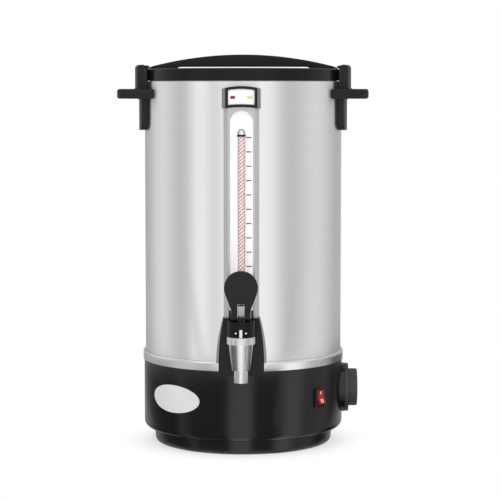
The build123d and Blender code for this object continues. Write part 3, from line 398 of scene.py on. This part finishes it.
def raiseFaces(bm, faces, thick):
    made = bmesh.ops.extrude_face_region(bm, geom=faces)["geom"]
    raised = [part for part in made if isinstance(part, bmesh.types.BMVert)]
    bmesh.ops.translate(bm, vec=(0, 0, thick), verts=raised)
    return raised


def faceFrame(origin, across, along):
    return Matrix.Translation(origin) @ Matrix((across, along, across.cross(along))).transposed().to_4x4()


# stamped oval plate on the base, bent to its wall, with a raised dark rim
badge = {"azimuth": -42.2, "height": 60.2 * mm, "width": 72 * mm, "tall": 31 * mm, "rim": 1.1 * mm,
         "wall": 0.25 * mm, "sheet": 0.3 * mm, "lift": 0.5 * mm, "proud": 0.9 * mm, "strips": 30,
         "segments": 96, "face": dict(silverLook, colour=0.80, flake=0.7 * mm, rough=0.34, metal=0.25),
         "edge": dict(mouldLook, colour=(0.03, 0.03, 0.03), rough=0.3)}


def badgePlate():
    low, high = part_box("base_housing")
    wall = (high.y - low.y) / 2
    bm = bmesh.new()
    bmesh.ops.create_circle(bm, cap_ends=True, segments=badge["segments"], radius=0.5)
    bmesh.ops.scale(bm, vec=(badge["width"], badge["tall"], 1), verts=bm.verts)
    face = bm.faces[:]
    steps = (badge["wall"], badge["rim"], badge["wall"])
    bands = [bmesh.ops.inset_region(bm, faces=face, thickness=step, use_even_offset=True)["faces"]
             for step in steps]
    for part in [part for band in bands for part in band]:
        part.material_index = 1
    inner = [vert for vert in bm.verts if not vert.is_boundary]
    bmesh.ops.translate(bm, vec=(0, 0, badge["lift"]), verts=inner)
    top = list({vert for part in bands[1] for vert in part.verts})
    bmesh.ops.translate(bm, vec=(0, 0, badge["proud"] - badge["lift"]), verts=top)
    for index in range(1, badge["strips"]):  # strips, so that the plate can bend
        x = (index / badge["strips"] - 0.5) * badge["width"]
        geom = bm.verts[:] + bm.edges[:] + bm.faces[:]
        bmesh.ops.bisect_plane(bm, geom=geom, plane_co=(x, 0, 0), plane_no=(1, 0, 0))
    turn = math.radians(badge["azimuth"])
    for vert in bm.verts:  # bend the flat plate round the wall
        angle = turn + vert.co.x / wall
        out = wall + badge["sheet"] + vert.co.z
        vert.co = (out * math.sin(angle), -out * math.cos(angle), badge["height"] + vert.co.y)
    bmesh.ops.recalc_face_normals(bm, faces=bm.faces)
    finishes = silverPaint("badgeFace", badge["face"]), moulded("badgeRim", badge["edge"])
    piece = addPiece("badgePlate", bm, "urn", "white_plate", *finishes)
    skin = piece.modifiers.new("sheet", "SOLIDIFY")
    skin.thickness = badge["sheet"]
    skin.offset = -1


badgePlate()
print("badge plate made")


# striped print in the gauge tube's wall, with a painted glow that brightens it
liner = {"inset": 0.3 * mm, "foot": 1 * mm, "steps": 48, "pitch": 3.95 * mm, "starts": 5, "share": 0.34,
         "red": (0.68, 0.19, 0.20, 1), "deep": 0.85, "mottle": 1.2 * mm, "white": (0.88, 0.87, 0.87, 1),
         "rough": 0.4, "glow": 0.18}


def stripeLiner():
    low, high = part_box("gauge_tube")
    axis = (low + high) / 2
    radius = (high.x - low.x) / 2 - liner["inset"]
    bm = bmesh.new()
    ends = [bm.verts.new((axis.x + radius, axis.y, height)) for height in (low.z + liner["foot"], high.z)]
    edge = bm.edges.new(ends)
    bmesh.ops.spin(bm, geom=[edge] + ends, cent=axis, axis=(0, 0, 1), angle=2 * math.pi,
                   steps=liner["steps"], use_merge=True)
    bmesh.ops.recalc_face_normals(bm, faces=bm.faces)
    stripes = Finish("stripePrint", Roughness=liner["rough"])
    x, y, z = splitAxes(stripes.tree, stripes.place)
    angle = x.calc("ARCTAN2", x - axis.x, axis.y - y)
    turn = z / liner["pitch"] - angle * (liner["starts"] / (2 * math.pi))
    wave = turn.calc("FRACT", turn)
    red = stripes.blend(stripes.noise(liner["mottle"]), shaded(liner["deep"], liner["red"]), liner["red"])
    ink = stripes.blend(wave < liner["share"], liner["white"], red)
    # painted light: the print glows a little, brightening the stripes behind the glass
    stripes.set({"Base Color": ink, "Emission Color": ink, "Emission Strength": liner["glow"]})
    piece = addPiece("stripeLiner", bm, "urn", "white_plate", stripes)
    piece.data.shade_smooth()


stripeLiner()
print("striped liner made")


# printed level marks on the scale
marks = {"left": 5.0 * mm, "long": 6.0 * mm, "tall": 1.1 * mm, "ink": 0.08 * mm, "top": 352.3 * mm,
         "pitch": 15.6 * mm, "count": 12, "rounding": 0.4, "roundSteps": 3,
         "look": dict(mouldLook, colour=(0.015, 0.015, 0.017), rough=0.5)}


def levelMarks():
    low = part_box("gauge_scale")[0]
    bm = bmesh.new()
    for index in range(marks["count"]):
        made = bmesh.ops.create_cube(bm, size=1)["verts"]
        bmesh.ops.scale(bm, vec=(marks["long"], marks["ink"], marks["tall"]), verts=made)
        height = marks["top"] - index * marks["pitch"]
        spot = (marks["left"] + marks["long"] / 2, low.y - marks["ink"] / 2, height)
        bmesh.ops.translate(bm, vec=spot, verts=made)
    ways = {edge: (edge.verts[0].co - edge.verts[1].co).normalized() for edge in bm.edges}
    corners = [edge for edge, way in ways.items() if abs(way.y) > 0.9]  # those through the ink
    bmesh.ops.bevel(bm, geom=corners, offset=marks["tall"] * marks["rounding"], affect="EDGES",
                    segments=marks["roundSteps"], profile=0.5, material=-1)
    addPiece("levelMarks", bm, "urn", "black_tap", moulded("printInk", marks["look"]))


levelMarks()
print("level marks made")


# bright guide strip that stands on the tap's collar, in the slot of the bonnet
guide = {"wide": 3.6 * mm, "thick": 1.0 * mm, "tall": 8.8 * mm, "sink": 1.0 * mm, "edge": 0.3 * mm,
         "edgeSteps": 2, "look": dict(chromeLook, colour=grey(0.8), rough=0.3)}


def stemGuide():
    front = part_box("tap_bonnet")[0].y
    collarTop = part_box("tap_body")[1].z
    bm = bmesh.new()
    bmesh.ops.create_cube(bm, size=1)
    bmesh.ops.scale(bm, vec=(guide["wide"], guide["thick"], guide["tall"]), verts=bm.verts)
    bmesh.ops.bevel(bm, geom=bm.edges[:], offset=guide["edge"], affect="EDGES",
                    segments=guide["edgeSteps"], profile=0.5, material=-1)
    spot = (0, front + guide["sink"] + guide["thick"] / 2, collarTop + guide["tall"] / 2)
    bmesh.ops.translate(bm, vec=spot, verts=bm.verts)
    addPiece("stemGuide", bm, "urn", "chrome", turnedMetal("guideSteel", guide["look"]))


stemGuide()
print("stem guide made")


# the tap's spring, which the rising stem presses up against the bonnet
springLook = dict(chromeLook, colour=grey(0.5), rough=0.3)


def tapSpring():
    bm = bmesh.new()
    bm.from_mesh(nodes["tap_spring"].data)
    bm.transform(nodes["tap_spring"].matrix_world)
    piece = addPiece("tapSpring", bm, "urn", "spring_steel", turnedMetal("springWire", springLook))
    piece.data.shade_smooth()
    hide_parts("tap_spring")
    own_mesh(piece)


tapSpring()
print("tap spring made")

# signs on the rocker: a bar on its upper half and a ring on its lower half
switchLook = {"valley": 4.0 * mm, "tilt": 12, "out": 4.6 * mm, "barWide": 0.9 * mm, "barTall": 3.6 * mm,
              "ring": 2.1 * mm, "hole": 1.35 * mm, "segments": 40, "ink": 0.08 * mm}


def switchMarks(ink):
    joint = joints["rocker_tip"]
    across, up = Vector(joint["axis"]), Vector((0, 0, 1))
    out = across.cross(up)
    lean = math.radians(switchLook["tilt"])
    crease = Vector(joint["pos_m"]) + switchLook["valley"] * (math.sin(lean) * up + math.cos(lean) * out)
    slope = math.cos(2 * lean) * up - math.sin(2 * lean) * out
    bm = bmesh.new()
    bar = bmesh.ops.create_cube(bm, size=1)["verts"]
    bmesh.ops.scale(bm, vec=(switchLook["barWide"], switchLook["barTall"], switchLook["ink"]), verts=bar)
    bmesh.ops.transform(bm, matrix=faceFrame(crease + switchLook["out"] * up, across, up), verts=bar)
    loops = [bmesh.ops.create_circle(bm, segments=switchLook["segments"], radius=switchLook[size])["verts"]
             for size in ("ring", "hole")]
    edges = list({edge for loop in loops for vert in loop for edge in vert.link_edges})
    flat = bmesh.ops.bridge_loops(bm, edges=edges)["faces"]
    ringVerts = loops[0] + loops[1] + raiseFaces(bm, flat, switchLook["ink"])
    ringSpot = faceFrame(crease - switchLook["out"] * slope, across, slope)
    bmesh.ops.transform(bm, matrix=ringSpot, verts=ringVerts)
    bmesh.ops.recalc_face_normals(bm, faces=bm.faces)
    addPiece("switchMarks", bm, "rocker", "white_plate", ink)


# plain numbers round the dial's skirt, and a pointer on the base above it
dialLook = {"skirt": 4.0 * mm, "circle": 24.6 * mm, "tall": 3.6 * mm, "ink": 0.06 * mm, "first": 30,
            "step": 10, "count": 9, "sweep": 270, "pointerWide": 4.2 * mm, "pointerGap": 1.6 * mm}


def textMesh(body, tall, thick):
    curve = bpy.data.curves.new("figure", "FONT")
    curve.body = body
    curve.size = tall
    curve.extrude = thick
    curve.align_x = "CENTER"
    curve.align_y = "CENTER"
    holder = bpy.data.objects.new("figure", curve)
    mesh = bpy.data.meshes.new_from_object(holder)
    bpy.data.objects.remove(holder)
    return mesh


def dialNumbers(ink):
    low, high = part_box("dial_knob")
    centre = Vector((low.x + dialLook["skirt"], 0, (low.z + high.z) / 2))
    bm = bmesh.new()
    for index in range(dialLook["count"]):
        angle = math.radians(dialLook["sweep"]) * index / (dialLook["count"] - 1)
        out = Vector((0, -math.sin(angle), math.cos(angle)))
        across = out.cross(Vector((1, 0, 0)))
        figure = str(dialLook["first"] + index * dialLook["step"])
        mesh = textMesh(figure, dialLook["tall"], dialLook["ink"])
        mesh.transform(faceFrame(centre + dialLook["circle"] * out, across, out))
        bm.from_mesh(mesh)
    addPiece("dialNumbers", bm, "dial", "white_plate", ink)


def dialPointer(ink):
    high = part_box("dial_knob")[1]
    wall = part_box("base_housing")[1].y
    bm = bmesh.new()
    bmesh.ops.create_circle(bm, cap_ends=True, segments=3, radius=dialLook["pointerWide"] / 2)
    raiseFaces(bm, bm.faces[:], 2 * dialLook["ink"])
    bmesh.ops.rotate(bm, matrix=Matrix.Rotation(math.pi, 3, "Z"), verts=bm.verts)
    spot = Vector((wall, 0, high.z + dialLook["pointerGap"] + dialLook["pointerWide"] / 2))
    bmesh.ops.transform(bm, matrix=faceFrame(spot, Vector((0, 1, 0)), Vector((0, 0, 1))), verts=bm.verts)
    bmesh.ops.recalc_face_normals(bm, faces=bm.faces)
    addPiece("dialPointer", bm, "urn", "white_plate", ink)


inkLook = dict(whiteLook, colour=(0.85, 0.85, 0.85), pale=0.93 / 0.85, rough=0.45)
whiteInk = moulded("whiteInk", inkLook)
switchMarks(whiteInk)
dialNumbers(whiteInk)
dialPointer(whiteInk)
print("signs made")

# studio: pale floor, white surroundings, soft lamps and the camera
# gloss meets soft boxes and gaps, each at the wall angle, in degrees, whose mirror direction shows it
studio = {
    "ambient": 0.68, "gain": 1.08, "wall": 114.6 * mm,
    "steelBands": [(-90, 0.42), (-77, 0.44), (-54, 0.78), (-37.5, 0.57), (-25, 1.0), (-16, 0.74),
                   (-11, 0.91), (13, 1.0), (28.5, 0.58), (47, 0.77), (72, 0.48), (90, 0.46)],
    "ringBands": [(-90, 0.42), (-66, 0.41), (-54, 0.33), (-35, 0.55), (-22, 0.46), (-6, 0.9), (8, 0.9),
                  (17, 0.70), (28.5, 0.98), (48, 0.40), (67, 0.13), (90, 0.40)],
    "baseBands": [(-90, 0.40), (-60, 0.09), (-44, 0.09), (-37, 0.41), (-30, 0.17), (-11, 0.16),
                  (-5, 0.93), (3, 0.97), (9, 0.17), (18, 0.16), (28, 0.99), (32, 0.98), (40, 0.44),
                  (52, 0.40), (66, 0.05), (74, 0.05), (90, 0.40)],
    "tapBands": [(-180, 0.3), (-130, 0.28), (-94, 0.11), (-62, 0.13), (-5, 1.2), (7, 1.2), (32, 0.74),
                 (52, 0.6), (94, 0.16), (130, 0.1), (165, 0.28), (180, 0.3)],
    "fade": 3 * mm, "tapFade": 14 * mm, "tapRadius": 9.5 * mm, "tapSpan": (76 * mm, 142 * mm),
    "tapSides": (57, 63), "coneSlope": (0.25, 0.30), "coneSooner": 11, "tapReach": (0.45, 0.65),
    "steepest": (0.385, 0.43),
    "floorRadius": 1.2, "floorSegments": 96, "floorDrop": 0.2 * mm, "floorColour": 0.90, "floorRough": 0.8,
    "contactShadowGlow": 0.6, "contactShadowSpan": (0.1, 0.15),
}
lamps = {
    "keyLamp": {"place": (-0.9, -1.6, 1.7), "size": 1.2, "power": 20},
    "fillLamp": {"place": (1.3, -1.2, 1.2), "size": 1.2, "power": 16},
    "backLamp": {"place": (0.2, 1.6, 1.5), "size": 1.2, "power": 12},
}
lampTarget = Vector((0, 0, 0.22))
eye = {"away": 2.113, "height": 0.4066, "azimuth": 0.9, "tilt": 5.06, "yaw": 0.214, "focalPixels": 1838.8,
       "pixels": 500, "sensor": 36}


def rayKinds(tree):
    path = addNode(tree, "ShaderNodeLightPath").socket.node
    names = ("Is Camera Ray", "Is Glossy Ray", "Is Transmission Ray", "Ray Length")
    return [Field(tree, path.outputs[name]) for name in names]


def bandLevel(bands, angle):
    half = bands[-1][0]
    stops = [(place / (2 * half) + 0.5, level) for place, level in bands]
    spot = angle / math.radians(2 * half) + 0.5
    return addNode(angle.tree, "ShaderNodeValToRGB", {"stops": stops}, {"Fac": spot})


def ramped(value, start, end):
    settings = {"interpolation_type": "SMOOTHSTEP"}
    sockets = {"Value": value, "From Min": start, "From Max": end}
    return addNode(value.tree, "ShaderNodeMapRange", settings, sockets)


# how high a ray of this length left its surface, if it went this far over the floor
def leftAt(length, travel):
    return length.calc("MAXIMUM", length * length - travel * travel, 0) ** 0.5


def studioWorld():
    world = bpy.data.worlds.new("studioWorld")
    bpy.context.scene.world = world
    world.use_nodes = True
    world.cycles.sampling_method = "NONE"  # each ray then meets the level meant for its own kind
    tree = world.node_tree
    camera, glossy, through = rayKinds(tree)[:3]
    x, y = splitAxes(tree, addNode(tree, "ShaderNodeTexCoord", out="Generated"))[:2]
    level = studio["gain"] * bandLevel(studio["steelBands"], x.calc("ARCTAN2", x, 0 - y) / 2)
    clear = camera.calc("MAXIMUM", camera, through)
    shown = clear + (1 - clear) * (glossy * level + (1 - glossy) * studio["ambient"])
    background = tree.nodes["Background"]
    background.inputs["Color"].default_value = grey(1)
    tree.links.new(shown.socket, background.inputs["Strength"])


# the level that a glossy ray meets on the floor: base, ring, steel and tap each see their own bands
def floorLevel(x, y, away, length):
    wallAngle = x.calc("ARCTAN2", x, 0 - y) / (2 - studio["wall"] / away)
    sideways = studio["wall"] * x.calc("SINE", wallAngle)
    travel = (away * away - sideways * sideways) ** 0.5 - studio["wall"] * x.calc("COSINE", wallAngle)
    rise = leftAt(length, travel)
    base, ring, steel = [bandLevel(studio[name], wallAngle)
                         for name in ("baseBands", "ringBands", "steelBands")]
    ringLow, ringHigh = [corner.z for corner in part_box("trim_ring")]
    overBase = ramped(rise, ringLow - studio["fade"], ringLow)
    overRing = ramped(rise, ringHigh + 2 * studio["fade"], ringHigh + 4 * studio["fade"])
    level = base + overBase * (ring - base)
    level = level + overRing * (steel - level)
    onWall = ramped(rise, 0, studio["tapFade"])
    level = steel + onWall * (level - steel)
    # the tap stands in front of the wall: its rays are too short for the wall but fit its own height
    ahead = joints["tap_lever_pull"]["pos_m"][1] - y
    tapSide = x.calc("ARCTAN2", x, ahead)
    tapTravel = (x * x + ahead * ahead) ** 0.5 - studio["tapRadius"]
    tapRise = leftAt(length, tapTravel)
    low, high = studio["tapSpan"]
    fits = ramped(tapRise, low - studio["fade"], low) * (1 - ramped(tapRise, high, high + studio["fade"]))
    slope = tapRise / length
    fits = fits * (1 - ramped(slope, *studio["steepest"]))
    cone = ramped(slope, *studio["coneSlope"])  # rays from its cone are steeper, and told apart sooner
    side = abs(tapSide) + math.radians(studio["coneSooner"]) * cone
    beside = ramped(side, *[math.radians(limit) for limit in studio["tapSides"]])
    beside = beside * (1 - ramped(tapTravel, *studio["tapReach"]))
    fits = fits * x.calc("MAXIMUM", beside, 1 - onWall)
    tap = bandLevel(studio["tapBands"], tapSide)
    return studio["gain"] * (level + fits * (tap - level))


def paleFloor():
    bm = bmesh.new()
    bmesh.ops.create_circle(bm, cap_ends=True, segments=studio["floorSegments"],
                            radius=studio["floorRadius"])
    bmesh.ops.translate(bm, vec=(0, 0, -studio["floorDrop"]), verts=bm.verts)
    mesh = bpy.data.meshes.new("floor")
    bm.to_mesh(mesh)
    bm.free()
    floor = bpy.data.objects.new("floor", mesh)
    bpy.context.scene.collection.objects.link(floor)
    colour = grey(studio["floorColour"])
    paint = Finish("floorPaint", **{"Base Color": colour, "Roughness": studio["floorRough"]})
    camera, glossy, through, length = rayKinds(paint.tree)
    x, y = splitAxes(paint.tree, paint.place)[:2]
    away = (x * x + y * y) ** 0.5
    level = floorLevel(x, y, away, length)
    # the camera sees it white, but darker close to the foot: the white glow is cut there, a painted contact
    # shadow on top of the real shadow that it lets show
    clear = ramped(away, *studio["contactShadowSpan"])
    glow = studio["contactShadowGlow"] + (1 - studio["contactShadowGlow"]) * clear
    white = paint.add("ShaderNodeEmission", None, {"Color": grey(1), "Strength": 1 + glossy * (level - 1)})
    shader = Field(paint.tree, paint.shader.outputs[0])
    share = glossy + (1 - glossy) * glow * camera.calc("MAXIMUM", camera, through)
    mixed = paint.add("ShaderNodeMixShader", None, {0: share, 1: shader, 2: white})
    output = paint.tree.nodes["Material Output"]
    paint.tree.links.new(mixed.socket, output.inputs["Surface"])
    paint.material.cycles.emission_sampling = "NONE"
    mesh.materials.append(paint.material)


def softLamps():
    for name, lamp in lamps.items():
        light = bpy.data.lights.new(name, "AREA")
        light.energy = lamp["power"]
        light.size = lamp["size"]
        holder = bpy.data.objects.new(name, light)
        bpy.context.scene.collection.objects.link(holder)
        holder.location = lamp["place"]
        aim = lampTarget - holder.location
        holder.rotation_euler = aim.to_track_quat("-Z", "Y").to_euler()
        holder.visible_glossy = False


def frontCamera():
    lens = bpy.data.cameras.new("camera")
    lens.sensor_width = eye["sensor"]
    lens.lens = eye["sensor"] * eye["focalPixels"] / eye["pixels"]
    camera = bpy.data.objects.new("camera", lens)
    bpy.context.scene.collection.objects.link(camera)
    turn = math.radians(eye["azimuth"])
    camera.location = (eye["away"] * math.sin(turn), -eye["away"] * math.cos(turn), eye["height"])
    camera.rotation_euler = (math.radians(90 - eye["tilt"]), 0, math.radians(eye["azimuth"] - eye["yaw"]))
    bpy.context.scene.camera = camera


studioWorld()
paleFloor()
softLamps()
frontCamera()
bpy.context.scene.view_settings.view_transform = "Standard"
print("studio set")
